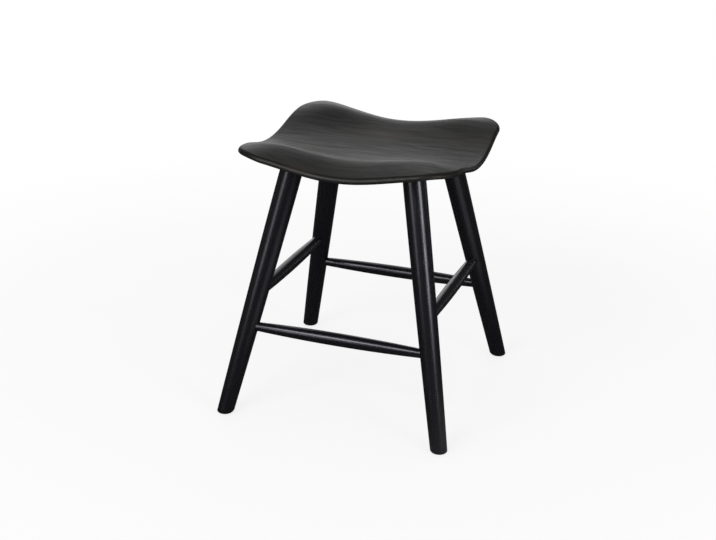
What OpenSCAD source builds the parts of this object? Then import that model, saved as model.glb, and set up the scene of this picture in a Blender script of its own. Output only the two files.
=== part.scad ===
// Saddle stool: a carved seat on four splayed round legs, tied by four turned stretchers.
// Millimetres, +Z up. The floor is z = 0, the front is -Y, and the seat's wings lie along X.

/* [Seat outline] */
// Length of the seat from wing to wing, at its corners
seat_w = 363; // [340:1:420]
// Depth of the seat from the front edge to the rear edge
seat_d = 360; // [345:1:410]
// Radius of the seat's four corners in plan
seat_corner_r = 57.5; // [45:0.5:85]
// How far the left and right sides bow out at their middle
seat_side_bow = 7.5; // [0:0.5:14]

/* [Seat surface] */
// Height of the dish's lowest point above the floor, before rounding
dish_h = 433; // [390:1:640]
// Rise of the dish's trough from the middle of the seat to the middle of each side
trough_rise = 5.5; // [0:0.1:14]
// Rise of the front and rear crests above the lowest point, at the middle, before rounding
crest_rise = 23; // [16:0.5:28]
// Further rise of the crests out to the wings, before rounding
crest_wing_rise = 34.5; // [20:0.5:42]
// Rise of the front and rear edges above the lowest point, at the middle
lip_rise = 5.5; // [2:0.1:14]
// Further rise of those edges out to the wings
lip_wing_rise = 37.4; // [24:0.1:44]
// Distance of the crests from the seat's long centre line, at the middle
crest_y = 124; // [112:1:140]
// The same distance at the wings
crest_y_wing = 140; // [125:1:154]
// Height of the rolled wing tips above the lowest point
wing_tip_rise = 27.9; // [20:0.1:36]
// How steeply the wings roll over towards their tips
wing_roll_slope = 0.27; // [0.1:0.01:0.5]
// How far the rear wings are raised, and the front wings lowered
wing_rake = 2.6; // [0:0.1:5]
// How far rounding softens the crests
crest_softness = 5.9; // [3:0.1:9]
// How far rounding softens the wings
wing_softness = 18.2; // [8:0.2:22]

/* [Seat thickness] */
// Thickness of the seat under the dish's lowest point
seat_t = 32; // [28:0.5:38]
// Thickness of the seat's half-round edge
seat_edge_t = 9.5; // [7:0.5:12]
// Width of the bevel that thins the seat towards its edges
under_bevel_w = 90; // [80:1:98]
// Share of the edge's rise that the underside follows inside its bevel
under_follow = 0.5; // [0.4:0.05:0.6]

/* [Legs] */
// Distance between the left and right feet, centre to centre
foot_spread_x = 380; // [340:1:440]
// Distance between the front and rear feet, centre to centre
foot_spread_y = 392; // [340:0.5:440]
// Distance between the left and right legs at their shoulders
top_spread_x = 206; // [186:1:222]
// Distance between the front and rear legs at their shoulders
top_spread_y = 190.5; // [176:0.5:210]
// Diameter of a leg at the foot
foot_d = 28; // [24:0.5:34]
// Diameter of a leg at the seat
leg_d = 37.8; // [34:0.2:42]
// Roundness of the leg's swell: 1 is a straight taper
leg_swell = 1.5; // [1:0.1:2.5]
// Height of a leg's shoulder above the lowest part of the seat's underside
leg_seating = 26; // [24:0.5:28]
// Diameter of the round tenon on top of a leg
leg_tenon_d = 24; // [20:0.5:28]
// Length of that tenon
leg_tenon_l = 11; // [9:0.5:12]
// Chamfer round the foot
foot_chamfer = 1.6; // [0.8:0.2:3]

/* [Stretchers] */
// Height of the front and rear stretchers above the foot
long_stretcher_h = 151; // [110:0.5:176]
// Height of the left and right stretchers above the foot
side_stretcher_h = 205; // [180:0.5:260]
// Diameter of every stretcher at its middle
stretcher_d = 22; // [18:0.5:28]
// Diameter of the front and rear stretchers' tenons
long_tenon_d = 15.6; // [12:0.2:17]
// Diameter of the left and right stretchers' tenons
side_tenon_d = 17.4; // [12:0.2:18]
// How far a stretcher's tenon runs past the leg's axis
tenon_past = 4; // [2:0.5:6]

/* [Glides] */
// Diameter of the glide under each foot
glide_d = 18; // [14:0.5:20]
// Thickness of a glide
glide_t = 4; // [3.5:0.1:6]
// How far a glide stands out below the foot
glide_proud = 1.5; // [1:0.1:2.5]
// Diameter of the nail that holds a glide
nail_d = 2.4; // [1.6:0.1:3]
// Diameter of the nail's head
nail_head_d = 5.2; // [4:0.1:7]
// Thickness of the nail's head
nail_head_t = 0.9; // [0.6:0.1:1.2]
// How deep the nail's head lies inside the glide
nail_sink = 0.6; // [0.3:0.1:1]
// Length of the nail under its head
nail_l = 19; // [14:0.5:25]

/* [Fits] */
// Gap left round a tenon, and under a shoulder
fit_gap = 0.1; // [0.05:0.05:0.3]
// Gap for glue past the end of a tenon
glue_gap = 1; // [0.5:0.1:2]
// Gap round a nail's shank
nail_gap = 0.05; // [0.05:0.05:0.2]

/* [Hidden] */
$fn = 64;
seat_colour = [0.2, 0.2, 0.19];
frame_colour = [0.1, 0.1, 0.13];
glide_colour = [0.16, 0.16, 0.16];
nail_colour = [0.72, 0.72, 0.74];

half_w = seat_w / 2;
half_d = seat_d / 2;
under_h = dish_h - seat_t;
foot_h = glide_proud;
foot_r = foot_d / 2;
leg_r = leg_d / 2;
// Height of a leg's shoulder above its foot, and the leg's run from foot to shoulder
shoulder_z = under_h + leg_seating - foot_h;
lean_x = (foot_spread_x - top_spread_x) / 2;
lean_y = (foot_spread_y - top_spread_y) / 2;
leg_l = norm([lean_x, lean_y, shoulder_z]);
leg_tilt = acos(shoulder_z / leg_l);
// The top of each leg is straight, so that it fits its round socket
leg_straight_l = 24;

// Seat outline: a rectangle with round corners, whose left and right sides bow out

corner_steps = 9;
side_steps = 13;
// One side of the outline and the corner before it, turned to each quadrant
function corner_point(q, i) =
    let (
        sx = (q == 0 || q == 3) ? 1 : -1,
        sy = q < 2 ? 1 : -1,
        turn = 90 * q + 90 * i / corner_steps
    )
    [
        sx * (half_w - seat_corner_r) + seat_corner_r * cos(turn),
        sy * (half_d - seat_corner_r) + seat_corner_r * sin(turn)
    ];
square_outline = [
    for (q = [0:3])
        let (from = corner_point(q, corner_steps), to = corner_point((q + 1) % 4, 0))
        each concat(
            [for (i = [0:corner_steps - 1]) corner_point(q, i)],
            [for (i = [0:side_steps - 1]) from + (to - from) * i / side_steps]
        )
];
function bowed(p) = [p[0] * (1 + seat_side_bow / half_w * (1 - pow(p[1] / half_d, 2))), p[1]];
outline = [for (p = square_outline) bowed(p)];
outline_n = len(outline);

// Seat top: a bowl climbs from the trough to each edge. Falling planes trim it along the front
// and rear edges and at the wing tips, and soft minimums round the crests where they meet.

trough_power = 2.3;
crest_turn_power = 4.1;
// A wing climbs from a soft bend of this share of the half width, then almost straight
wing_bend = 0.48;
function wing(u) = (norm([u, wing_bend]) - wing_bend) / (norm([1, wing_bend]) - wing_bend);
function span(x) = abs(x) / half_w;
function trough_z(u) = dish_h + trough_rise * pow(u, trough_power);
function crest_z(u) = dish_h + crest_rise + crest_wing_rise * wing(u);
function lip_z(u) = dish_h + lip_rise + lip_wing_rise * wing(u);
function crest_at(u) = crest_y + (crest_y_wing - crest_y) * pow(u, crest_turn_power);
function bowl(u, v) = trough_z(u) + (crest_z(u) - trough_z(u)) * pow(v / crest_at(u), 2);
function front_roll(u, v) =
    lip_z(u) + (crest_z(u) - lip_z(u)) * (half_d - v) / (half_d - crest_at(u));
function wing_roll(u) = dish_h + wing_tip_rise + wing_roll_slope * half_w * (1 - u);
function soft_min(a, b, softness) = (a + b - norm([a - b, softness])) / 2;
function top_z(x, y) =
    let (u = span(x), v = abs(y))
    soft_min(soft_min(bowl(u, v), front_roll(u, v), crest_softness), wing_roll(u), wing_softness)
        + wing_rake * u * u * y / half_d;

// Seat underside: a shallow saddle in the middle, with a wide bevel up to the half-round edge

edge_r = seat_edge_t / 2;
edge_from = 1 - edge_r / half_d;
bevel_from = 1 - under_bevel_w / half_d;
function bevel_share(k) = max(0, (k - bevel_from) / (edge_from - bevel_from));
function edge_under_z(p) = top_z(p[0], p[1]) - seat_edge_t;
function saddle_share(k) = under_follow * pow(min(1, k / bevel_from), 2);
function middle_z(p, k) = under_h + saddle_share(k) * (edge_under_z(p) - dish_h + seat_edge_t);

// The shell is a stack of rings: out over the top, round the edge, and back in underneath

top_rings = 24;
edge_rings = 4;
bevel_rings = 7;
middle_rings = 3;
function top_ring(k, drop = 0) = [
    for (p = outline)
        [k * p[0], k * p[1], top_z(k * p[0], k * p[1]) - drop]
];
// The edge's upper half turns over from the top surface, and its lower half turns back in
function upper_edge(turn) = top_ring(1 - edge_r / half_d * (1 - sin(turn)), edge_r * (1 - cos(turn)));
function lower_edge(turn) =
    let (k = 1 - edge_r / half_d * (1 - cos(turn)))
    [for (p = outline) [k * p[0], k * p[1], top_z(p[0], p[1]) - edge_r * (1 + sin(turn))]];
function under_ring(k) = [
    for (p = outline)
        let (z = middle_z(p, k))
        [k * p[0], k * p[1], z + (edge_under_z(p) - z) * bevel_share(k)]
];
seat_rings = concat(
    [for (i = [1:top_rings]) top_ring(edge_from * i / top_rings)],
    [for (i = [1:edge_rings]) upper_edge(90 * i / edge_rings)],
    [for (i = [1:edge_rings]) lower_edge(90 * i / edge_rings)],
    [for (i = [1:bevel_rings]) under_ring(edge_from + (bevel_from - edge_from) * i / bevel_rings)],
    [for (i = [1:middle_rings - 1]) under_ring(bevel_from * (1 - i / middle_rings))]
);
ring_n = len(seat_rings);
seat_points = concat(
    [[0, 0, top_z(0, 0)]],
    [for (ring = seat_rings) each ring],
    [[0, 0, under_h]]
);
function at(ring, i) = 1 + ring * outline_n + i % outline_n;
last_point = len(seat_points) - 1;
seat_faces = concat(
    [for (i = [0:outline_n - 1]) [0, at(0, i + 1), at(0, i)]],
    [
        for (r = [0:ring_n - 2], i = [0:outline_n - 1])
            each [
                [at(r, i), at(r, i + 1), at(r + 1, i + 1)],
                [at(r, i), at(r + 1, i + 1), at(r + 1, i)]
            ]
    ],
    [for (i = [0:outline_n - 1]) [last_point, at(ring_n - 1, i), at(ring_n - 1, i + 1)]]
);

module seat() {
    color(seat_colour)
        difference() {
            polyhedron(seat_points, seat_faces);
            for (sx = [-1, 1], sy = [-1, 1])
                along_leg(sx, sy)
                    leg_socket();
        }
}

// The socket takes the leg's full width up to its shoulder, then the tenon

module leg_socket() {
    translate([0, 0, leg_l - leg_straight_l])
        cylinder(h = leg_straight_l + fit_gap, r = leg_r + fit_gap);
    translate([0, 0, leg_l])
        cylinder(h = leg_tenon_l + glue_gap, r = leg_tenon_d / 2 + fit_gap);
}

// Legs. In a leg's own frame +Z runs up its axis from the middle of its foot.

module along_leg(sx, sy) {
    translate([sx * foot_spread_x / 2, sy * foot_spread_y / 2, foot_h])
        rotate([0, leg_tilt, atan2(-sy * lean_y, -sx * lean_x)])
            children();
}

leg_steps = 20;
foot_overrun = 12;
taper_l = leg_l - leg_straight_l;
function leg_radius(s) = foot_r + (leg_r - foot_r) * (1 - pow(max(0, 1 - s / taper_l), leg_swell));
leg_profile = concat(
    [[0, -foot_overrun]],
    [
        for (i = [0:leg_steps])
            let (s = -foot_overrun + (taper_l + foot_overrun) * i / leg_steps)
            [leg_radius(s), s]
    ],
    [
        [leg_r, leg_l],
        [leg_tenon_d / 2, leg_l],
        [leg_tenon_d / 2, leg_l + leg_tenon_l - 1],
        [leg_tenon_d / 2 - 1, leg_l + leg_tenon_l],
        [0, leg_l + leg_tenon_l]
    ]
);

// A cone that stands on its cut end trims the foot flat and chamfers its rim

module foot_trim() {
    reach = leg_l + leg_tenon_l + foot_overrun;
    rotate_extrude()
        polygon([
            [0, 0],
            [foot_r - foot_chamfer, 0],
            [foot_r - foot_chamfer + reach, reach],
            [0, reach]
        ]);
}

module glide_recess() {
    translate([0, 0, -1])
        cylinder(h = glide_t - glide_proud + fit_gap + 1, d = glide_d + 2 * fit_gap);
    cylinder(h = nail_tip_h - foot_h + nail_gap, d = nail_d + 2 * nail_gap);
}

// Where a leg's axis is at a height above its foot

function axis_x(h) = foot_spread_x / 2 - lean_x * h / shoulder_z;
function axis_y(h) = foot_spread_y / 2 - lean_y * h / shoulder_z;
function radius_at(h) = leg_radius(h * leg_l / shoulder_z);

module stretcher_mortise(d) {
    depth = leg_d + tenon_past + glue_gap;
    translate([0, 0, -leg_d])
        cylinder(h = depth, r = d / 2 + fit_gap);
}

module leg(sx, sy) {
    color(frame_colour)
        difference() {
            intersection() {
                along_leg(sx, sy)
                    rotate_extrude()
                        polygon(leg_profile);
                translate([sx * foot_spread_x / 2, sy * foot_spread_y / 2, foot_h])
                    foot_trim();
            }
            translate([sx * axis_x(long_stretcher_h), sy * axis_y(long_stretcher_h), foot_h + long_stretcher_h])
                rotate([0, 90 * sx, 0])
                    stretcher_mortise(long_tenon_d);
            translate([sx * axis_x(side_stretcher_h), sy * axis_y(side_stretcher_h), foot_h + side_stretcher_h])
                rotate([-90 * sy, 0, 0])
                    stretcher_mortise(side_tenon_d);
            translate([sx * foot_spread_x / 2, sy * foot_spread_y / 2, foot_h])
                glide_recess();
        }
}

// Stretchers. Each swells from its tenons to its middle, and is turned about its own length.

stretcher_steps = 12;
// The swell starts clear of the mouth of the mortise
mouth_clearance = 2;
module stretcher(half_l, swell_half_l, tenon_r) {
    mid_r = stretcher_d / 2;
    color(frame_colour)
        rotate_extrude()
            polygon(concat(
                [[0, -half_l], [tenon_r - 1, -half_l], [tenon_r, 1 - half_l]],
                [
                    for (i = [-stretcher_steps:stretcher_steps])
                        let (share = i / stretcher_steps)
                        [mid_r - (mid_r - tenon_r) * share * share, swell_half_l * share]
                ],
                [[tenon_r, half_l - 1], [tenon_r - 1, half_l], [0, half_l]]
            ));
}

module long_stretcher(sy) {
    h = long_stretcher_h;
    translate([0, sy * axis_y(h), foot_h + h])
        rotate([0, 90, 0])
            stretcher(
                axis_x(h) + tenon_past,
                axis_x(h) - radius_at(h) - mouth_clearance,
                long_tenon_d / 2
            );
}

module side_stretcher(sx) {
    h = side_stretcher_h;
    translate([sx * axis_x(h), 0, foot_h + h])
        rotate([90, 0, 0])
            stretcher(
                axis_y(h) + tenon_past,
                axis_y(h) - radius_at(h) - mouth_clearance,
                side_tenon_d / 2
            );
}

// Glides: a nylon disc let into each foot, held by a nail whose head lies inside it

nail_head_z = nail_sink + nail_head_t;
nail_tip_l = 3;
nail_tip_h = nail_head_z + nail_l;
glide_rim = 0.6;

module at_foot(sx, sy) {
    translate([sx * foot_spread_x / 2, sy * foot_spread_y / 2, 0])
        children();
}

module glide(sx, sy) {
    color(glide_colour)
        at_foot(sx, sy)
            difference() {
                rotate_extrude()
                    polygon([
                        [0, 0],
                        [glide_d / 2 - glide_rim, 0],
                        [glide_d / 2, glide_rim],
                        [glide_d / 2, glide_t],
                        [0, glide_t]
                    ]);
                translate([0, 0, -1])
                    cylinder(h = 1 + nail_head_z + nail_gap, d = nail_head_d + 2 * nail_gap);
                cylinder(h = glide_t + 1, d = nail_d + 2 * nail_gap);
            }
}

module glide_nail(sx, sy) {
    color(nail_colour)
        at_foot(sx, sy)
            rotate_extrude()
                polygon([
                    [0, nail_sink],
                    [nail_head_d / 2, nail_sink],
                    [nail_head_d / 2, nail_head_z],
                    [nail_d / 2, nail_head_z],
                    [nail_d / 2, nail_tip_h - nail_tip_l],
                    [0, nail_tip_h]
                ]);
}

seat();
leg(-1, -1);  // front_left_leg
leg(1, -1);  // front_right_leg
leg(-1, 1);  // rear_left_leg
leg(1, 1);  // rear_right_leg
long_stretcher(-1);  // front_stretcher
long_stretcher(1);  // rear_stretcher
side_stretcher(-1);  // left_stretcher
side_stretcher(1);  // right_stretcher
glide(-1, -1);  // front_left_glide
glide(1, -1);  // front_right_glide
glide(-1, 1);  // rear_left_glide
glide(1, 1);  // rear_right_glide
glide_nail(-1, -1);  // front_left_glide_nail
glide_nail(1, -1);  // front_right_glide_nail
glide_nail(-1, 1);  // rear_left_glide_nail
glide_nail(1, 1);  // rear_right_glide_nail
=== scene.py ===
# %% [markdown]
# # A black saddle stool
# The object is a low wooden stool: one carved seat, four turned legs and four turned stretchers,
# all stained black under a thin satin lacquer. This lesson dresses its CAD model. The frame holds
# every CAD solid in its real place, in metres, so each piece made here only has to repeat the
# maker's own measures to land where it belongs.

# %% Load the frame
import math

import bpy
import numpy as np
from mathutils import Matrix, Vector


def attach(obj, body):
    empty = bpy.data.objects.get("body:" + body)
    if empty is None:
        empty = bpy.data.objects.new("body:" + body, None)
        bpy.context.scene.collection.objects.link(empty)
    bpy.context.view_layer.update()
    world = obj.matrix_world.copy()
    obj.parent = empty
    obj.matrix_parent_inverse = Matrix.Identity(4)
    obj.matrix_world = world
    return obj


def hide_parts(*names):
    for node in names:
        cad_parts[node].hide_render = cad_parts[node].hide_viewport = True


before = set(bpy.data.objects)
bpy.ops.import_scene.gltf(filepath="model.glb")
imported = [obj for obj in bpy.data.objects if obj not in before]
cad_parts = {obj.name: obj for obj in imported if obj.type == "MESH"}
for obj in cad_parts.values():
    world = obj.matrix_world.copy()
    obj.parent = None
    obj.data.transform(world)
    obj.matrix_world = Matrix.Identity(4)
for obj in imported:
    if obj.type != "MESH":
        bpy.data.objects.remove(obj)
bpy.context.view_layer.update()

# %% [markdown]
# ## The camera
# The stool is seen from above its right front corner. The camera could be aimed with a
# constraint, but a matrix built from three angles is exact: the azimuth turns it round the
# stool, the elevation tips it down, and the roll levels the picture. It comes first, because
# every later choice is judged through it.

# %% Camera
CAMERA_AZIMUTH, CAMERA_ELEVATION, CAMERA_ROLL = 19.486, 21.904, 0.854
CAMERA_PLACE = (0.67546, -1.97308, 1.05432)
CAMERA_LENS = 65.124
azimuth, elevation, roll = (math.radians(a) for a in (CAMERA_AZIMUTH, CAMERA_ELEVATION, CAMERA_ROLL))
out_x, out_y = math.sin(azimuth) * math.cos(elevation), -math.cos(azimuth) * math.cos(elevation)
backward = Vector((out_x, out_y, math.sin(elevation)))
level_right = Vector((math.cos(azimuth), math.sin(azimuth), 0))
level_up = backward.cross(level_right)
right = level_right * math.cos(roll) + level_up * math.sin(roll)
upward = level_up * math.cos(roll) - level_right * math.sin(roll)

camera = bpy.data.objects.new("camera", bpy.data.cameras.new("camera"))
bpy.context.collection.objects.link(camera)
camera.data.lens = CAMERA_LENS
facing = Matrix((right, upward, backward)).transposed().to_4x4()
camera.matrix_world = Matrix.Translation(CAMERA_PLACE) @ facing
bpy.context.scene.camera = camera
print("camera", round(Vector(CAMERA_PLACE).length, 3), "m from the middle of the floor under the seat")

# %% [markdown]
# ## The measures
# A joiner works from one list of measures, and so does this script. They repeat the sizes in the
# CAD source, in millimetres, with +Z up, the front at -Y and the seat's wings along X. Heights of
# the stretchers count from the wooden foot, which its glide holds just off the floor.

# %% Measures in millimetres
MM = 0.001
SEAT_W, SEAT_D, SEAT_CORNER_R, SEAT_SIDE_BOW = 363.0, 360.0, 57.5, 7.5
DISH_H, TROUGH_RISE, CREST_RISE, CREST_WING_RISE = 433.0, 5.5, 23.0, 34.5
LIP_RISE, LIP_WING_RISE, CREST_Y, CREST_Y_WING = 5.5, 37.4, 124.0, 140.0
WING_TIP_RISE, WING_ROLL_SLOPE, WING_RAKE = 27.9, 0.27, 2.6
CREST_SOFTNESS, WING_SOFTNESS = 5.9, 18.2
SEAT_T, SEAT_EDGE_T, UNDER_BEVEL_W, UNDER_FOLLOW = 32.0, 9.5, 90.0, 0.5
FOOT_SPREAD_X, FOOT_SPREAD_Y, TOP_SPREAD_X, TOP_SPREAD_Y = 380.0, 392.0, 206.0, 190.5
FOOT_D, LEG_D, LEG_SWELL, LEG_SEATING = 28.0, 37.8, 1.5, 26.0
LEG_TENON_D, LEG_TENON_L, FOOT_CHAMFER, LEG_STRAIGHT_L = 24.0, 11.0, 1.6, 24.0
LONG_STRETCHER_H, SIDE_STRETCHER_H, STRETCHER_D = 151.0, 205.0, 22.0
LONG_TENON_D, SIDE_TENON_D, TENON_PAST, MOUTH_CLEARANCE = 15.6, 17.4, 4.0, 2.0
GLIDE_D, GLIDE_T, GLIDE_PROUD, FIT_GAP = 18.0, 4.0, 1.5, 0.1
NAIL_D, NAIL_HEAD_T, NAIL_SINK, NAIL_L, NAIL_GAP = 2.4, 0.9, 0.6, 19.0, 0.05
TENON_EASE = 1.0

HALF_W, HALF_D = SEAT_W / 2, SEAT_D / 2
UNDER_H = DISH_H - SEAT_T
SHOULDER_Z = UNDER_H + LEG_SEATING - GLIDE_PROUD
LEAN_X, LEAN_Y = (FOOT_SPREAD_X - TOP_SPREAD_X) / 2, (FOOT_SPREAD_Y - TOP_SPREAD_Y) / 2
LEG_L = math.hypot(LEAN_X, LEAN_Y, SHOULDER_Z)
NAIL_TIP_H = NAIL_SINK + NAIL_HEAD_T + NAIL_L
print(f"legs {LEG_L:.1f} mm long, leaning {math.degrees(math.acos(SHOULDER_Z / LEG_L)):.2f} degrees")

# %% [markdown]
# ## From rings to a mesh
# Every wooden piece here is a closed skin: a stack of rings with one point at each end. numpy
# works out all rings at once, and one helper turns them into a mesh. Each point also keeps its
# place in the blank of wood that the piece was cut from, with X along the grain, so that the
# grain later runs along a leg and not along the room.

# %% A skin from rings
SHARP_ANGLE = 38


def in_order(rings, poles):
    """All points of a skin as one list: the first pole, ring after ring, the last pole."""
    return np.concatenate([[poles[0]], rings.reshape(-1, 3), [poles[1]]])


def skin_faces(count, around):
    """Quads between neighbouring rings, and a fan of triangles from each pole to the ring beside it."""
    here = np.arange(around)
    following = (here + 1) % around
    start, last = 1 + around * np.arange(count - 1)[:, None], 1 + around * (count - 1)
    corners = [start + here, start + following, start + around + following, start + around + here]
    fans = np.concatenate([
        np.stack([0 * here, following + 1, here + 1], -1),
        np.stack([last + here, last + following, 0 * here + last + around], -1),
    ])
    return np.stack(corners, -1).reshape(-1, 4), fans


def skin(name, rings, poles, blank, node):
    """Joins rings (ring, point, xyz) in mm and two poles into a closed mesh. blank gives each point's place
    in the wood blank in mm, in the same order. The volume is a sixth of the sum of (a x b) . c over the
    triangles, and where it is negative, the faces are turned."""
    points = in_order(rings, poles) * MM
    quads, fans = skin_faces(*rings.shape[:2])
    triangles = np.concatenate([quads[:, :3], quads[:, [0, 2, 3]], fans])
    a, b, c = (points[triangles[:, k]] for k in range(3))
    volume = (np.cross(a, b) * c).sum() / 6
    if volume < 0:
        quads, fans = quads[:, ::-1], fans[:, ::-1]
    mesh = bpy.data.meshes.new(name)
    mesh.from_pydata(points.tolist(), [], quads.tolist() + fans.tolist())
    in_blank = mesh.attributes.new("blank", "FLOAT_VECTOR", "POINT")
    in_blank.data.foreach_set("vector", (blank * MM).ravel())
    mesh.polygons.foreach_set("use_smooth", np.ones(len(mesh.polygons), bool))
    mesh.set_sharp_from_angle(angle=math.radians(SHARP_ANGLE))
    piece = bpy.data.objects.new(name, mesh)
    bpy.context.collection.objects.link(piece)
    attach(piece, "root")
    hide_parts(node)
    print(f"{name}: {len(triangles)} triangles, {abs(volume) * 1e6:.0f} cm3")
    return piece


# %% [markdown]
# ## The seat
# The seat is one thick board, carved into a saddle: a bowl climbs from the trough to the edges,
# and rolls over into a crest along the front and rear and at each wing's tip. It could be
# sculpted, or subdivided from a coarse cage. But a carver thinks of it as a few sweeps of the
# tool, each one a height over the plan, so the surface is the lowest of three such sweeps. A
# soft minimum rounds the crests where they meet. The CAD seat stops there. This one is also
# sanded: a third of a millimetre comes off everywhere, and the crests are rounded wider at the
# same height, so that light falls off softly over them. Nothing moves by more than a millimetre.

# %% Seat height over its plan
TROUGH_POWER, CREST_TURN_POWER, WING_BEND = 2.3, 4.1, 0.48
SANDING, CREST_SANDING = 0.35, 7.0


def wing(span):
    """A hyperbola from 0 in the middle to 1 at the wing tips: a soft bend first, then almost straight."""
    bend = math.hypot(1, WING_BEND) - WING_BEND
    return (np.hypot(span, WING_BEND) - WING_BEND) / bend


def soft_min(a, b, softness):
    """The lower of two heights with a rounded corner: half of a plus b less their softened gap."""
    return (a + b - np.hypot(a - b, softness)) / 2


def seat_height(x, y):
    """A parabola climbs from trough to crest; a slope falls from crest to lip; another falls out to the
    wing tip. The rake lifts the rear wings and lowers the front ones, by the square of the share of the
    way out. A wider soft minimum would lower the crests by half of its extra width, so they start that
    much higher."""
    span, away = np.abs(x) / HALF_W, np.abs(y)
    trough = DISH_H + TROUGH_RISE * span**TROUGH_POWER
    crest = DISH_H + CREST_RISE + CREST_WING_RISE * wing(span) + CREST_SANDING / 2
    lip = DISH_H + LIP_RISE + LIP_WING_RISE * wing(span)
    crest_at = CREST_Y + (CREST_Y_WING - CREST_Y) * span**CREST_TURN_POWER
    bowl = trough + (crest - trough) * (away / crest_at) ** 2
    roll = lip + (crest - lip) * (HALF_D - away) / (HALF_D - crest_at)
    tips = DISH_H + WING_TIP_RISE + WING_ROLL_SLOPE * HALF_W * (1 - span)
    swept = soft_min(soft_min(bowl, roll, CREST_SOFTNESS + CREST_SANDING), tips, WING_SOFTNESS)
    return swept + WING_RAKE * span**2 * y / HALF_D - SANDING


probes = seat_height(np.array([0.0, 0.0, HALF_W + SEAT_SIDE_BOW]), np.array([0.0, -HALF_D, 0.0])).round(1)
print("seat heights in mm at the middle, the front edge and the side edge", probes)

# %% Seat outline
CORNER_POINTS, SIDE_POINTS = 34, 56


def seat_outline():
    """Four quarter circles joined by straight sides. Then the left and right sides bow out as a parabola."""
    signs = [(1, 1), (-1, 1), (-1, -1), (1, -1)]
    turn = np.radians(np.arange(CORNER_POINTS + 1) * 90 / CORNER_POINTS)
    share = (np.arange(SIDE_POINTS) / SIDE_POINTS)[:, None]
    arcs = [
        np.stack([
            sx * (HALF_W - SEAT_CORNER_R) + SEAT_CORNER_R * np.cos(turn + q * np.pi / 2),
            sy * (HALF_D - SEAT_CORNER_R) + SEAT_CORNER_R * np.sin(turn + q * np.pi / 2),
        ], -1)
        for q, (sx, sy) in enumerate(signs)
    ]
    loops = [
        np.concatenate([arc[:-1], arc[-1] + (arcs[(q + 1) % 4][0] - arc[-1]) * share])
        for q, arc in enumerate(arcs)
    ]
    plan = np.concatenate(loops)
    plan[:, 0] *= 1 + SEAT_SIDE_BOW / HALF_W * (1 - (plan[:, 1] / HALF_D) ** 2)
    return plan


plan = seat_outline()
print("seat outline", len(plan), "points,", round(float(np.ptp(plan[:, 0])), 1), "mm wide")

# %% [markdown]
# The edge is where a hand feels the quality of a seat. A router cutter has turned it into a half
# round, and a wide bevel underneath makes the thick board look thin. A Bevel modifier would need
# clean edge loops all round this bowed outline. Rings are simpler: scaling the outline about the
# middle gives every inner ring, and sine and cosine place the ones that turn the edge.

# %% Seat skin
EDGE_R = SEAT_EDGE_T / 2
TOP_RINGS, EDGE_RINGS, BEVEL_RINGS, MIDDLE_RINGS = 84, 10, 22, 16
KNEE_SOFT, KNEE_ROOM = 0.05, 0.1


def lifted(xy, z):
    """Plan points with their heights as a third coordinate."""
    return np.concatenate([xy, np.broadcast_to(z, xy.shape[:-1])[..., None]], -1)


def seat_rings():
    """The top shrinks the outline to the middle. The edge is a half circle from the top to the underside.
    Below, a shallow saddle follows UNDER_FOLLOW of the rim's own rise, and the bevel climbs from it straight
    to the rim. KNEE_SOFT rounds the bend between them, and the fine rings go KNEE_ROOM past it."""
    edge_k, bevel_k = 1 - EDGE_R / HALF_D, 1 - UNDER_BEVEL_W / HALF_D
    inner = plan * (edge_k * np.arange(1, TOP_RINGS) / TOP_RINGS)[:, None, None]
    top = lifted(inner, seat_height(inner[..., 0], inner[..., 1]))
    turn = np.linspace(0, np.pi / 2, EDGE_RINGS + 1)[:, None]
    over = plan * (1 - EDGE_R / HALF_D * (1 - np.sin(turn)))[..., None]
    over = lifted(over, seat_height(over[..., 0], over[..., 1]) - EDGE_R * (1 - np.cos(turn)))
    rim_z = seat_height(plan[:, 0], plan[:, 1])
    under = plan * (1 - EDGE_R / HALF_D * (1 - np.cos(turn[1:])))[..., None]
    under = lifted(under, rim_z - EDGE_R * (1 + np.sin(turn[1:])))
    k = np.concatenate([
        np.linspace(edge_k, bevel_k - KNEE_ROOM, BEVEL_RINGS + 1)[1:],
        (bevel_k - KNEE_ROOM) * np.arange(MIDDLE_RINGS - 1, 0, -1) / MIDDLE_RINGS,
    ])[:, None]
    share = (k - bevel_k) / (edge_k - bevel_k)
    share = (share + np.hypot(share, KNEE_SOFT)) / 2
    follow = UNDER_FOLLOW * np.minimum(1, k / bevel_k) ** 2
    middle_z = UNDER_H + follow * (rim_z - DISH_H)
    belly = lifted(plan * k[..., None], middle_z + (rim_z - SEAT_EDGE_T - middle_z) * share)
    return np.concatenate([top, over, under, belly])


rings = seat_rings()
poles = [(0.0, 0.0, float(seat_height(0.0, 0.0))), (0.0, 0.0, UNDER_H)]
seat = skin("carved_seat", rings, poles, in_order(rings, poles), "seat")

# %% [markdown]
# ## The legs
# A leg is turned on a lathe: round everywhere, thin at the foot, swelling towards the seat, with a
# round tenon above its shoulder. It stands at a compound angle, and only then is its foot sawn
# level. A Screw modifier could spin the profile, but the level cut would need a Boolean. Here the
# lowest ring is solved directly: for each direction round the leg, where does its side meet the
# little cone that trims the foot?

# %% Leg radius and axes
TAPER_L = LEG_L - LEG_STRAIGHT_L


def leg_radius(s):
    """Foot radius plus its growth: one less a power of the share of the taper that is still ahead."""
    grown = 1 - np.maximum(0, 1 - s / TAPER_L) ** LEG_SWELL
    return FOOT_D / 2 + (LEG_D - FOOT_D) / 2 * grown


def leg_axes(sx, sy):
    """The unit vectors of a leg: up its axis, across it and leaning most, and across it and level."""
    up = np.array([-sx * LEAN_X, -sy * LEAN_Y, SHOULDER_Z]) / LEG_L
    level = np.cross([0, 0, 1], up)
    level /= np.linalg.norm(level)
    return up, np.cross(level, up), level


print("leg radius at foot, middle and top", leg_radius(np.array([0, LEG_L / 2, LEG_L])).round(2))

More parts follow.
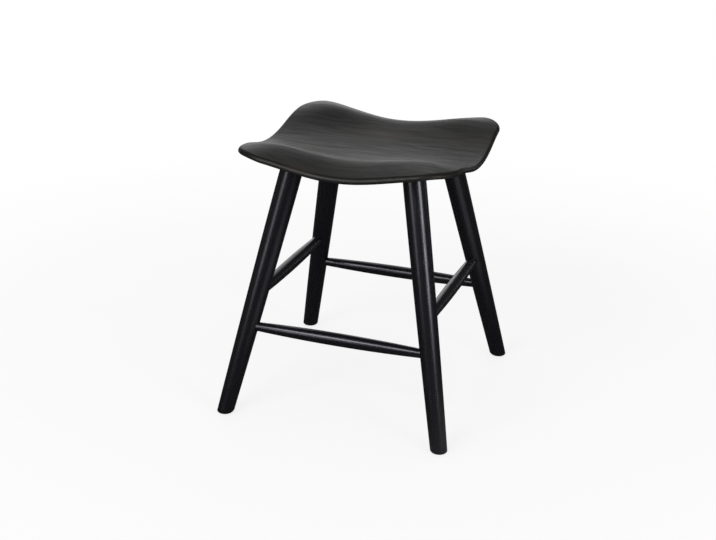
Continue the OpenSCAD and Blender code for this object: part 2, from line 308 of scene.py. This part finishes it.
# %% Foot of a leg
LEG_AROUND, FOOT_RINGS = 96, 7
SOLE_R, FOOT_EASE = FOOT_D / 2 - FOOT_CHAMFER, 0.7
CUT_LOW, CUT_HIGH, CUT_STEPS = -12.0, 16.0, 30
RECESS_R, RECESS_H = GLIDE_D / 2 + FIT_GAP, GLIDE_T - GLIDE_PROUD + FIT_GAP
NAIL_HOLE_R, NAIL_HOLE_H = NAIL_D / 2 + NAIL_GAP, NAIL_TIP_H - GLIDE_PROUD + NAIL_GAP


def on_shaft(s, r, up, spokes):
    """Points on a leg: s along its axis plus r along each spoke, a unit vector across the axis."""
    along, out = (np.broadcast_to(size, len(spokes))[:, None] for size in (s, r))
    return along * up + out * spokes


def foot_cut(up, spokes):
    """Where each side of the shaft meets the trimming cone, which is FOOT_CHAMFER inside the foot's radius
    at the sole and widens by as much as it rises. The stretch that holds the cut is halved CUT_STEPS
    times."""
    low, high = np.full(len(spokes), CUT_LOW), np.full(len(spokes), CUT_HIGH)
    for _ in range(CUT_STEPS):
        middle = (low + high) / 2
        x, y, z = on_shaft(middle, leg_radius(middle), up, spokes).T
        outside = np.hypot(x, y) > SOLE_R + z
        low, high = np.where(outside, middle, low), np.where(outside, high, middle)
    return (low + high) / 2


def level_rings(radii, heights, turn):
    """Circles about the foot's upright centre line: each radius times cosine and sine, at its height."""
    circle = np.stack([np.cos(turn), np.sin(turn), 0 * turn], -1)
    return np.array(radii)[:, None, None] * circle + np.array(heights)[:, None, None] * [0, 0, 1]


def foot_rings(cut, up, spokes):
    """The nail hole and the glide's recess, and then the foot's eased edge: a cubic Bezier curve from the
    sole to the shaft, which the sole's rim and the top of the chamfer pull outwards."""
    knuckle = on_shaft(cut, leg_radius(cut), up, spokes)
    outer = on_shaft(cut + FOOT_EASE, leg_radius(cut + FOOT_EASE), up, spokes)
    sole = knuckle * [1, 1, 0]
    sole *= (SOLE_R / np.linalg.norm(sole, axis=1))[:, None]
    inner = sole * (1 - FOOT_EASE / SOLE_R)
    t = np.linspace(0, 1, FOOT_RINGS)[:, None, None]
    edge = (1 - t) ** 3 * inner + 3 * t * (1 - t) ** 2 * sole + 3 * t**2 * (1 - t) * knuckle + t**3 * outer
    radii, heights = [NAIL_HOLE_R, NAIL_HOLE_R, RECESS_R, RECESS_R], [NAIL_HOLE_H, RECESS_H, RECESS_H, 0.0]
    bore = level_rings(radii, heights, np.arctan2(sole[:, 1], sole[:, 0]))
    return np.concatenate([bore, edge])


# %% Rings of a leg
LEG_RINGS = 90


def leg_rings(sx, sy):
    """The foot's rings, evenly spaced ones up the swelling shaft, and three for the shoulder and tenon."""
    up, across, level = leg_axes(sx, sy)
    turn = np.linspace(0, 2 * np.pi, LEG_AROUND, endpoint=False)
    spokes = np.cos(turn)[:, None] * across + np.sin(turn)[:, None] * level
    cut = foot_cut(up, spokes)
    shares = np.linspace(0, 1, LEG_RINGS + 1)[1:]
    places = [cut + FOOT_EASE + (LEG_L - cut - FOOT_EASE) * share for share in shares]
    sizes = [(place, leg_radius(place)) for place in places]
    tenon_r, top = LEG_TENON_D / 2, LEG_L + LEG_TENON_L
    sizes += [(LEG_L, tenon_r), (top - TENON_EASE, tenon_r), (top, tenon_r - TENON_EASE)]
    upper = np.stack([on_shaft(s, r, up, spokes) for s, r in sizes])
    rings = np.concatenate([foot_rings(cut, up, spokes), upper])
    poles = [np.array([0, 0, NAIL_HOLE_H]), top * up]
    return rings, poles, np.stack([up, across, level])


# %% Four legs
LEG_SIDES = (
    (-1, -1, "front_left_leg"), (1, -1, "front_right_leg"),
    (-1, 1, "rear_left_leg"), (1, 1, "rear_right_leg"),
)
BLANK_STEP = 600.0

legs = []
for number, (side_x, side_y, name) in enumerate(LEG_SIDES):
    rings, poles, axes = leg_rings(side_x, side_y)
    blank = in_order(rings, poles) @ axes.T + [BLANK_STEP * number, 0, 0]
    foot = np.array([side_x * FOOT_SPREAD_X / 2, side_y * FOOT_SPREAD_Y / 2, GLIDE_PROUD])
    poles = [pole + foot for pole in poles]
    legs.append(skin("turned_" + name, rings + foot, poles, blank, name))

# %% [markdown]
# ## The stretchers
# Four turned rails tie the legs together. Each is thickest in the middle and thins to a tenon at
# both ends, so that it looks light and its mortises stay small. The front and rear pair sits
# lower than the side pair, which keeps the mortises apart. A profile carried along a straight
# axis is all it takes.

# %% Rings of a stretcher
STRETCHER_AROUND, SWELL_RINGS = 72, 60


def stretcher_rings(half_l, mouth, tenon_r):
    """Circles about X. Between the mouths the radius is the middle's less a square of the share of the way
    out, a parabola; past them it is the tenon's, eased at the end."""
    share = np.linspace(-1, 1, SWELL_RINGS + 1)
    neck_r, neck_at = tenon_r - TENON_EASE, half_l - TENON_EASE
    along = np.concatenate([[-half_l, -neck_at], share * mouth, [neck_at, half_l]])
    swell = STRETCHER_D / 2 - (STRETCHER_D / 2 - tenon_r) * share**2
    radius = np.concatenate([[neck_r, tenon_r], swell, [tenon_r, neck_r]])
    turn = np.linspace(0, 2 * np.pi, STRETCHER_AROUND, endpoint=False)
    ring = np.stack([0 * turn, np.cos(turn), np.sin(turn)], -1)
    return radius[:, None, None] * ring + along[:, None, None] * [1, 0, 0]


# %% Four stretchers
STRETCHER_BLANKS_AT = 3000.0


def axis_at(height):
    """Where the legs' axes are, out from the middle in x and y, at a height above the foot."""
    share = height / SHOULDER_Z
    return FOOT_SPREAD_X / 2 - LEAN_X * share, FOOT_SPREAD_Y / 2 - LEAN_Y * share


def stretcher(name, height, tenon_d, sideways, side, number):
    """Makes a stretcher along X, turns it along Y if it runs sideways, and moves it between its legs."""
    x, y = axis_at(height)
    reach = y if sideways else x
    half_l, leg_r = reach + TENON_PAST, leg_radius(height * LEG_L / SHOULDER_Z)
    rings = stretcher_rings(half_l, reach - leg_r - MOUTH_CLEARANCE, tenon_d / 2)
    poles = [np.array([-half_l, 0, 0]), np.array([half_l, 0, 0])]
    blank = in_order(rings, poles) + [STRETCHER_BLANKS_AT + BLANK_STEP * number, 0, 0]
    turn = np.array([[0, 1, 0], [-1, 0, 0], [0, 0, 1]]) if sideways else np.eye(3)
    place = [side * x if sideways else 0, 0 if sideways else side * y, GLIDE_PROUD + height]
    poles = [pole @ turn + place for pole in poles]
    return skin("turned_" + name, rings @ turn + place, poles, blank, name)


stretchers = [
    stretcher("front_stretcher", LONG_STRETCHER_H, LONG_TENON_D, False, -1, 0),
    stretcher("rear_stretcher", LONG_STRETCHER_H, LONG_TENON_D, False, 1, 1),
    stretcher("left_stretcher", SIDE_STRETCHER_H, SIDE_TENON_D, True, -1, 2),
    stretcher("right_stretcher", SIDE_STRETCHER_H, SIDE_TENON_D, True, 1, 3),
]

# %% [markdown]
# ## Writing materials as sums
# A material is a small circuit of nodes. Placing them one by one hides the idea, so a class wraps
# a socket and lets Python's own signs add the Math nodes: 1 - pores is a node, and so is
# fibre * 0.2. Every other kind of node comes from one method.

# %% A socket that can be added and multiplied


class Wire:
    """An output socket. Python's signs add Math nodes to its tree, and node() adds any other node."""

    def __init__(self, tree, socket=None):
        self.tree, self.socket = tree, socket

    def node(self, kind, settings=None, output=0, **inputs):
        """Adds a node, makes its settings, fills or links its sockets, and returns one of its outputs."""
        made = self.tree.nodes.new(kind)
        for key, value in (settings or {}).items():
            setattr(made, key, value)
        by_name = {s.name.replace(" ", "_"): s for s in reversed(made.inputs)}
        by_name.update({s.identifier: s for s in made.inputs})
        for key, value in inputs.items():
            if isinstance(value, Wire):
                self.tree.links.new(value.socket, by_name[key])
            else:
                by_name[key].default_value = value
        return Wire(self.tree, made.outputs[output]) if len(made.outputs) else made

    def math(self, operation, *values):
        """One Math node on numbers."""
        names = dict(zip(("Value", "Value_001", "Value_002"), values))
        return self.node("ShaderNodeMath", {"operation": operation}, **names)

    def __add__(self, other):
        return self.math("ADD", self, other)

    __radd__ = __add__

    def __mul__(self, other):
        return self.math("MULTIPLY", self, other)

    __rmul__ = __mul__

    def __sub__(self, other):
        return self.math("SUBTRACT", self, other)

    def __rsub__(self, other):
        return self.math("SUBTRACT", other, self)

    def __truediv__(self, other):
        return self.math("DIVIDE", self, other)

    def __pow__(self, other):
        return self.math("POWER", self, other)

    def between(self, low, high):
        """0 below low, 1 above high, and between them a smooth step: three squares less two cubes."""
        return self.node(
            "ShaderNodeMapRange", {"interpolation_type": "SMOOTHSTEP"},
            Value=self, From_Min=low, From_Max=high, To_Min=0.0, To_Max=1.0,
        )


# %% Helpers for every material
# A Mix node has a result for each kind of data, all with one name. The colour's is the third.
COLOUR_RESULT = 2


def new_material(name):
    """An empty material, and a Wire through which nodes are added to its tree."""
    material = bpy.data.materials.new(name)
    material.use_nodes = True
    material.node_tree.nodes.clear()
    return material, Wire(material.node_tree)


def parts(vector):
    """The X, Y and Z of a vector, as three numbers."""
    apart = vector.node("ShaderNodeSeparateXYZ", Vector=vector).socket.node.outputs
    return [Wire(vector.tree, apart[axis]) for axis in "XYZ"]


def blended(share, first, second):
    """A colour that goes from the first to the second as the share goes from 0 to 1."""
    return share.node(
        "ShaderNodeMix", {"data_type": "RGBA"}, COLOUR_RESULT,
        Factor_Float=share, A_Color=first, B_Color=second,
    )


def finish_surface(paint, shader):
    """Links a shader to the material's output."""
    paint.node("ShaderNodeOutputMaterial", Surface=shader)


# %% [markdown]
# ## Black-stained, open-grained wood
# Under black stain the grain hardly differs in colour. What shows it is the light: the early wood
# of each year's ring is full of open pores, which stay dull and a little deeper, while the dense
# late wood takes the lacquer's shine. So the rings, the pores and the fibres are worked out in the
# blank's own coordinates, and they steer the roughness and the bump more than the colour. Broad
# clouds and streaks stand for stain and lacquer that a cloth has left a little uneven.

# %% Noise in the wood
# Each kind has its features per metre along and across the grain, its detail, its roughness and
# its place in the noise.
FIBRES = (26, 900, 3.0, 0.6, (0, 0, 0))
PORES = (70, 1500, 2.0, 0.55, (3, 5, 7))
CLOUDS = (4, 11, 3.0, 0.5, (1, 2, 3))
HANDLED = (9, 9, 4.0, 0.6, (4, 4, 1))
STREAKS = (11, 170, 3.0, 0.6, (6, 2, 8))


def wood_noise(blank, along, across, detail, rough, place):
    """Noise stretched along the grain, which is X in the blank."""
    stretched = blank.node("ShaderNodeMapping", Vector=blank, Scale=(along, across, across), Location=place)
    return blank.node("ShaderNodeTexNoise", Vector=stretched, Scale=1.0, Detail=detail, Roughness=rough)


# %% Rings in the wood
SWAY_SCALE, SWAY = (3.5, 16, 16), 0.016
EARLY_STARTS, EARLY_ENDS = (0.0, 0.05), (0.05, 0.45)


def early_wood(blank, ring_mm, pith_mm):
    """1 in the open wood that starts each ring, and 0 in the dense wood that ends it. The ring's count is
    the distance from the pith, bent by slow noise, over the ring's width."""
    slow_place = blank.node("ShaderNodeMapping", Vector=blank, Scale=SWAY_SCALE)
    slow = blank.node("ShaderNodeTexNoise", output="Color", Scale=1.0, Detail=2.0, Vector=slow_place)
    sway = blank.node("ShaderNodeVectorMath", {"operation": "SCALE"}, Vector=slow, Scale=SWAY)
    bent = blank.node("ShaderNodeVectorMath", {"operation": "ADD"}, Vector=blank, Vector_001=sway)
    _, y, z = parts(bent)
    across, deep = y - pith_mm[0] * MM, z - pith_mm[1] * MM
    season = blank.math("FRACT", (across * across + deep * deep) ** 0.5 / (ring_mm * MM))
    return (1 - season.between(*EARLY_ENDS)) * season.between(*EARLY_STARTS)


# %% Stain and lacquer
OPEN_PORES, LATE_PORES = (0.52, 0.64), 0.15
STREAK_EDGES, WARM_EDGES, WARM_PLAIN, WARM_STREAK = (0.36, 0.66), (0.48, 0.66), 0.4, 0.5
FIBRE_PALER, EARLY_DARKER, PORE_DARKER = 0.5, 0.16, 0.35
FIBRE_DULLER, EARLY_DULLER, PORE_DULLER, HANDLED_DULLER, STREAK_DULLER = 0.16, 0.07, 0.2, 0.12, 0.06
FIBRE_HIGH, EARLY_DEEP, PORE_DEEP, BUMP_STRENGTH, BUMP_MM = 0.25, 0.35, 1.0, 0.35, 0.12
COAT_MOST, COAT_STREAK = 1.25, 0.5


def stained_wood(
    name, stain, warm_stain, painted_light_tint, ring_mm, pith_mm, cloud_change, roughness, coat, coat_dull, mirror
):
    """The stain is scaled by a sum: paler fibres and clouds, darker early wood and pores. Clouds and streaks
    blend it into the warm stain. The roughness and the bump are such sums too. mirror is the lacquer's index
    of refraction, gleam paints the light's colour into what it mirrors, and the coat thins where the streaks
    are strong."""
    material, paint = new_material(name)
    blank = paint.node("ShaderNodeAttribute", {"attribute_name": "blank"}, output="Vector")
    early = early_wood(blank, ring_mm, pith_mm)
    fibre, cloud, handled = (wood_noise(blank, *noise) for noise in (FIBRES, CLOUDS, HANDLED))
    pores = wood_noise(blank, *PORES).between(*OPEN_PORES) * (early * (1 - LATE_PORES) + LATE_PORES)
    streak = wood_noise(blank, *STREAKS).between(*STREAK_EDGES)

    light = 1 + (fibre - 0.5) * FIBRE_PALER + (cloud - 0.5) * cloud_change
    light = light - early * EARLY_DARKER - pores * PORE_DARKER
    shade = paint.node(
        "ShaderNodeCombineColor", Red=light * stain[0], Green=light * stain[1], Blue=light * stain[2],
    )
    warm = cloud.between(*WARM_EDGES) * (WARM_PLAIN + streak * WARM_STREAK)
    dull = roughness + (fibre - 0.5) * FIBRE_DULLER + early * EARLY_DULLER + pores * PORE_DULLER
    dull = dull + (handled - 0.5) * HANDLED_DULLER + (streak - 0.5) * STREAK_DULLER
    height = fibre * FIBRE_HIGH - pores * PORE_DEEP - early * EARLY_DEEP
    bump = paint.node("ShaderNodeBump", Height=height, Strength=BUMP_STRENGTH, Distance=BUMP_MM * MM)
    shader = paint.node(
        "ShaderNodeBsdfPrincipled", Base_Color=blended(warm, shade, (*warm_stain, 1)), Roughness=dull,
        Normal=bump, IOR=mirror, Specular_Tint=(*painted_light_tint, 1),
        Coat_Weight=coat * (COAT_MOST - streak * COAT_STREAK), Coat_Roughness=coat_dull, Coat_IOR=mirror,
    )
    finish_surface(paint, shader)
    print(name, "with", len(material.node_tree.nodes), "nodes")
    return material


# The tint of what each lacquer mirrors is painted light: a cool lamp's colour on the frame, a warm one on
# the seat.
seat_finish = stained_wood(
    "stained_seat_wood", stain=(0.0085, 0.0082, 0.0078), warm_stain=(0.024, 0.018, 0.014),
    painted_light_tint=(1.0, 0.985, 0.96), ring_mm=2.6, pith_mm=(35.0, 250.0), cloud_change=0.5, roughness=0.46,
    coat=0.6, coat_dull=0.42, mirror=1.33,
)
frame_finish = stained_wood(
    "stained_frame_wood", stain=(0.005, 0.0046, 0.0066), warm_stain=(0.006, 0.0055, 0.0065),
    painted_light_tint=(0.85, 0.87, 1.0), ring_mm=2.0, pith_mm=(14.0, -9.0), cloud_change=0.4, roughness=0.25,
    coat=0.5, coat_dull=0.24, mirror=1.5,
)
seat.data.materials.append(seat_finish)
for piece in legs + stretchers:
    piece.data.materials.append(frame_finish)

# %% [markdown]
# ## Glides and nails
# Under each foot sits a small nylon disc held by one steel nail. They are seen only when the
# stool lies on its side, and the CAD solids already have their shape, so they only get finishes:
# scuffed dark nylon and bright, slightly scratched steel.

# %% Scuffed nylon
NYLON_NEW, NYLON_RUBBED = (0.022, 0.022, 0.023, 1), (0.06, 0.058, 0.055, 1)
RUB_SCALE, RUB_EDGES, NYLON_DULL, RUB_DULLER, RUB_MM = 420.0, (0.48, 0.66), 0.42, 0.25, 0.1


def scuffed_nylon():
    """Dark plastic, paler and duller where noise says that the floor has rubbed it."""
    material, paint = new_material("scuffed_nylon")
    place = paint.node("ShaderNodeTexCoord", output="Object")
    rub = paint.node("ShaderNodeTexNoise", Vector=place, Scale=RUB_SCALE, Detail=4.0, Roughness=0.65)
    scuff = rub.between(*RUB_EDGES)
    bump = paint.node("ShaderNodeBump", Height=rub, Strength=0.3, Distance=RUB_MM * MM)
    shader = paint.node(
        "ShaderNodeBsdfPrincipled", Base_Color=blended(scuff, NYLON_NEW, NYLON_RUBBED),
        Roughness=NYLON_DULL + scuff * RUB_DULLER, Normal=bump,
    )
    finish_surface(paint, shader)
    return material


# %% Scratched steel
STEEL_DARK, STEEL_PALE = (0.42, 0.42, 0.43, 1), (0.6, 0.6, 0.61, 1)
SCRATCH_SCALE, SCRATCH_EDGES, STEEL_DULL, SCRATCH_DULLER = (300, 2600, 900), (0.3, 0.8), 0.24, 0.25


def scratched_steel():
    """Bright metal with fine scratches in its colour and roughness, from noise stretched along X."""
    material, paint = new_material("scratched_steel")
    place = paint.node("ShaderNodeTexCoord", output="Object")
    long_place = paint.node("ShaderNodeMapping", Vector=place, Scale=SCRATCH_SCALE)
    scratch = paint.node("ShaderNodeTexNoise", Vector=long_place, Scale=1.0, Detail=3.0)
    colour = blended(scratch.between(*SCRATCH_EDGES), STEEL_DARK, STEEL_PALE)
    roughness = STEEL_DULL + scratch * SCRATCH_DULLER
    shader = paint.node("ShaderNodeBsdfPrincipled", Base_Color=colour, Metallic=1.0, Roughness=roughness)
    finish_surface(paint, shader)
    return material


# %% Finishes on the CAD's glides and nails
nylon, steel = scuffed_nylon(), scratched_steel()
for name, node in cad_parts.items():
    if name.endswith("_glide") or name.endswith("_nail"):
        finish = nylon if name.endswith("_glide") else steel
        node.data.materials.clear()
        node.data.materials.append(finish)
        print(name, "gets", finish.name)

# %% [markdown]
# ## Studio
# Black wood is hard to light: its colour gives almost nothing back, so its form is drawn by what
# it mirrors. A world that is white all round would wash it out. So the camera sees white
# everywhere, but what the lacquer mirrors is a dark studio with a few bright things in it. Two
# scenes would do that, one to be seen and one to be mirrored. The Light Path node does it in one:
# it tells a material whether the ray that arrives is the camera's or a reflection.

# %% Which rays see white
STUDIO_GLOSS = 0.03
WHITE = (1, 1, 1, 1)


def rays(paint):
    """Whether a ray comes from the camera or through something, and whether it is a reflection."""
    seen = paint.node("ShaderNodeLightPath").socket.node.outputs
    direct, through, mirrored = (
        Wire(paint.tree, seen[kind]) for kind in ("Is Camera Ray", "Is Transmission Ray", "Is Glossy Ray")
    )
    return direct + through, mirrored


# %% [markdown]
# ## The floor
# The stool stands on a white page and keeps a faint shadow under its seat. A shadow catcher would
# need a picture laid over another one afterwards. Here one material does both: near the stool a
# little matt white takes the shadow, and everywhere else the floor glows white for the camera. In
# the lacquer it is dark, but for a bright strip far behind and a pool of light at the right.

# %% Floor
FLOOR_SIDE, FLOOR_COLOUR = 18.0, (0.9, 0.9, 0.9, 1)
SHADOW_EDGES, FLOOR_KEEPS_SHADOW = (0.5, 1.6), 0.2
FAR_EDGES, FAR_GLOSS = (3.0, 6.0), 1.1
POOL_CENTRE, POOL_EDGES, POOL_GLOSS = (0.55, -0.38), (0.1, 0.55), 0.45

floor_mesh = bpy.data.meshes.new("floor")
half = FLOOR_SIDE / 2
corners = [(-half, -half, 0), (half, -half, 0), (half, half, 0), (-half, half, 0)]
floor_mesh.from_pydata(corners, [], [(0, 1, 2, 3)])
floor = bpy.data.objects.new("floor", floor_mesh)
bpy.context.collection.objects.link(floor)


def distance(x, y):
    """How far a point is from the centre: the root of the sum of the squares."""
    return (x * x + y * y) ** 0.5


floor_white, paint = new_material("floor_white")
shown, mirrored = rays(paint)
place_x, place_y, _ = parts(paint.node("ShaderNodeTexCoord", output="Object"))
keeps = (1 - distance(place_x, place_y).between(*SHADOW_EDGES)) * FLOOR_KEEPS_SHADOW
far = place_y.between(*FAR_EDGES) * FAR_GLOSS
pool_away = distance(place_x - POOL_CENTRE[0], place_y - POOL_CENTRE[1])
pool = (1 - pool_away.between(*POOL_EDGES)) * POOL_GLOSS
matt = paint.node("ShaderNodeBsdfDiffuse", Color=FLOOR_COLOUR)
strength = shown + mirrored * (far + pool + STUDIO_GLOSS)
glow = paint.node("ShaderNodeEmission", Color=WHITE, Strength=strength)
glow_share = shown * (1 - keeps) + mirrored
finish_surface(paint, paint.node("ShaderNodeMixShader", Fac=glow_share, Shader=matt, Shader_001=glow))
floor.data.materials.append(floor_white)
print("floor", FLOOR_SIDE, "m wide, bright from", FAR_EDGES[0], "m behind the stool")

# %% [markdown]
# ## The world
# Behind the stool and to its left hangs a big card that fades upwards, between dim walls. It gives
# the bowl of the seat and the tops of the stretchers their soft sheen. It could be a glowing
# plane, but a plane would show up in other views. In the world it is only a product of smooth
# steps over the ray's direction. Its sides are measured on a wall one metre behind the stool,
# where a least depth keeps the division away from zero. To the rays that light matt surfaces the
# world is an even, pale white, so that colours render about as they are written.

# %% World
DIFFUSE_WHITE, WALL_EDGES, WALL_GLOSS = 0.62, (0.1, 0.6), 0.05
CARD_CENTRE, CARD_SIDES, CARD_BEHIND, CARD_GLOSS = -0.42, (0.15, 0.5), (0.1, 0.5), 0.95
CARD_FADE, CARD_TOP = (0.12, 0.7), 0.3
LEAST_DEPTH = 0.001

world = bpy.data.worlds.new("studio")
bpy.context.scene.world = world
world.use_nodes = True
world.node_tree.nodes.clear()
paint = Wire(world.node_tree)
shown, mirrored = rays(paint)
towards_x, towards_y, towards_z = parts(paint.node("ShaderNodeTexCoord", output="Generated"))
sideways = paint.math("ABSOLUTE", towards_x / paint.math("MAXIMUM", towards_y, LEAST_DEPTH) - CARD_CENTRE)
card = towards_y.between(*CARD_BEHIND) * (1 - sideways.between(*CARD_SIDES))
walls = (1 - towards_z.between(*WALL_EDGES)) * WALL_GLOSS
fade = CARD_TOP + (1 - towards_z.between(*CARD_FADE)) * (1 - CARD_TOP)
studio = card * fade * CARD_GLOSS + walls + STUDIO_GLOSS
strength = shown + mirrored * studio + (1 - shown - mirrored) * DIFFUSE_WHITE
background = paint.node("ShaderNodeBackground", Color=WHITE, Strength=strength)
paint.node("ShaderNodeOutputWorld", Surface=background)
print("studio world with", len(world.node_tree.nodes), "nodes")

# %% [markdown]
# ## Soft boxes
# Four lamps do what a photographer's soft boxes do. The high front one draws the lines along the
# stretchers and the seat's edge, two upright ones draw the lines down the legs, and one above and
# behind, at the left, lifts the bowl of the seat. Glowing planes would work too, but the camera
# would see them, while an Area lamp shows only in what mirrors it.

# %% Soft boxes


def softbox(name, azimuth_deg, low, high, width, away, radiance):
    """An upright rectangular lamp that faces the stool's middle axis, between two heights. Its power is its
    radiance times pi times its area, so that its size and its brightness can be set apart."""
    turn = math.radians(azimuth_deg)
    place = Vector((math.sin(turn) * away, -math.cos(turn) * away, (low + high) / 2))
    lamp = bpy.data.lights.new(name, "AREA")
    lamp.shape, lamp.size, lamp.size_y = "RECTANGLE", width, high - low
    lamp.energy = radiance * math.pi * width * (high - low)
    box = bpy.data.objects.new(name, lamp)
    bpy.context.collection.objects.link(box)
    box.location = place
    towards = Vector((-place.x, -place.y, 0))
    box.rotation_mode = "QUATERNION"
    box.rotation_quaternion = towards.to_track_quat("-Z", "Y")
    print(name, "gives", round(lamp.energy, 1), "W")


softbox("front_softbox", azimuth_deg=-19, low=1.35, high=2.6, width=1.5, away=2.5, radiance=6.1)
softbox("left_strip", azimuth_deg=-26, low=0.3, high=0.9, width=0.8, away=2.4, radiance=2.3)
softbox("rear_softbox", azimuth_deg=207, low=1.3, high=2.5, width=1.2, away=1.6, radiance=0.55)
softbox("right_softbox", azimuth_deg=61, low=0.5, high=1.3, width=0.7, away=2.2, radiance=6.6)

# The Standard view shows colours without a film look of its own.
bpy.context.scene.view_settings.view_transform = "Standard"
